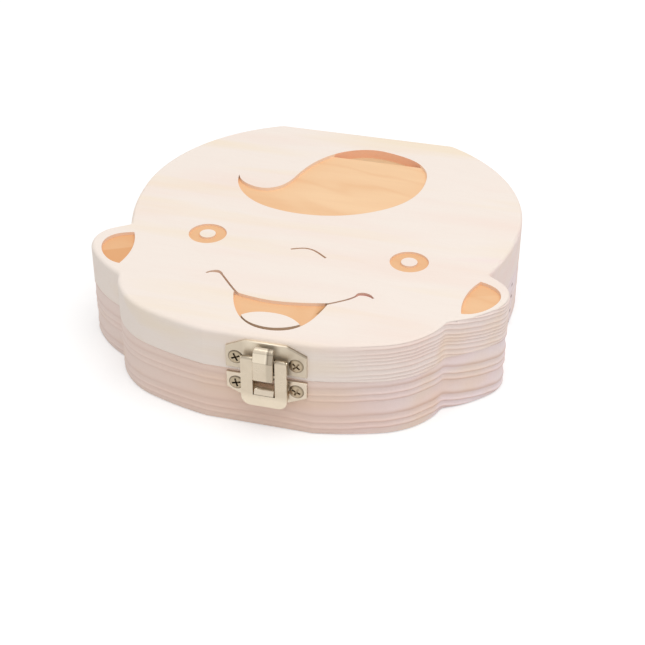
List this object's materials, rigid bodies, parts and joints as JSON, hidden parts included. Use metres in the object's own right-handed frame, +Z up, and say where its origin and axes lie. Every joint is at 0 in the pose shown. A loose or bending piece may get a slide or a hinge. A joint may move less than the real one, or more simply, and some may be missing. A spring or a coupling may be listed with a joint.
{
  "type": "baby tooth box",
  "caption": "Hinged wooden milk-tooth keepsake box shaped like a baby's head, with a carved face, tooth wells inside and a small brass draw latch.",
  "frame": {"origin": "middle of the flat underside, halfway between the flat front and the flat back of the wood", "axes": "+Z up, -Y the front with the latch, +Y the flat back with the hinges, +X to the right seen from the front"},
  "size_m": [0.125, 0.1322, 0.03],
  "materials": {
    "base_wood": "bare sanded pine, soft satin",
    "lid_wood": "bare sanded pine, with the carved hollows a warmer tan",
    "latch_brass": "pale brass plating, satin",
    "hinge_brass": "pale brass plating, satin",
    "screw_brass": "pale brass plating, slightly worn"
  },
  "bodies": {
    "base": {"base_tray": "base_wood", "latch_catch_plate": "latch_brass", "latch_catch_screws": "screw_brass", "left_hinge_base_leaf": "hinge_brass", "left_hinge_base_screws": "screw_brass", "left_hinge_pin": "hinge_brass", "right_hinge_base_leaf": "hinge_brass", "right_hinge_base_screws": "screw_brass", "right_hinge_pin": "hinge_brass"},
    "lid": {"lid_panel": "lid_wood", "latch_lid_plate": "latch_brass", "latch_lid_screws": "screw_brass", "latch_lever_pin": "latch_brass", "left_hinge_lid_leaf": "hinge_brass", "left_hinge_lid_screws": "screw_brass", "right_hinge_lid_leaf": "hinge_brass", "right_hinge_lid_screws": "screw_brass"},
    "lever": {"latch_lever": "latch_brass", "latch_loop_pin": "latch_brass"},
    "loop": {"latch_loop": "latch_brass"}
  },
  "joints": [
    {"name": "lid_hinge", "type": "hinge", "parent": "base", "child": "lid", "pos_m": [0, 0.06392, 0.018], "axis": [-1, 0, 0], "range_deg": [0, 180]},
    {"name": "lever_pivot", "type": "hinge", "parent": "lid", "child": "lever", "pos_m": [0.0028, -0.0652, 0.0197], "axis": [1, 0, 0], "range_deg": [0, 100]},
    {"name": "loop_pivot", "type": "hinge", "parent": "lever", "child": "loop", "pos_m": [0.0028, -0.0649, 0.0242], "axis": [1, 0, 0], "range_deg": [-100, 0]}
  ],
  "couplings": [
    {"joint": "loop_pivot", "follows": "lever_pivot", "ratio": -1}
  ]
}
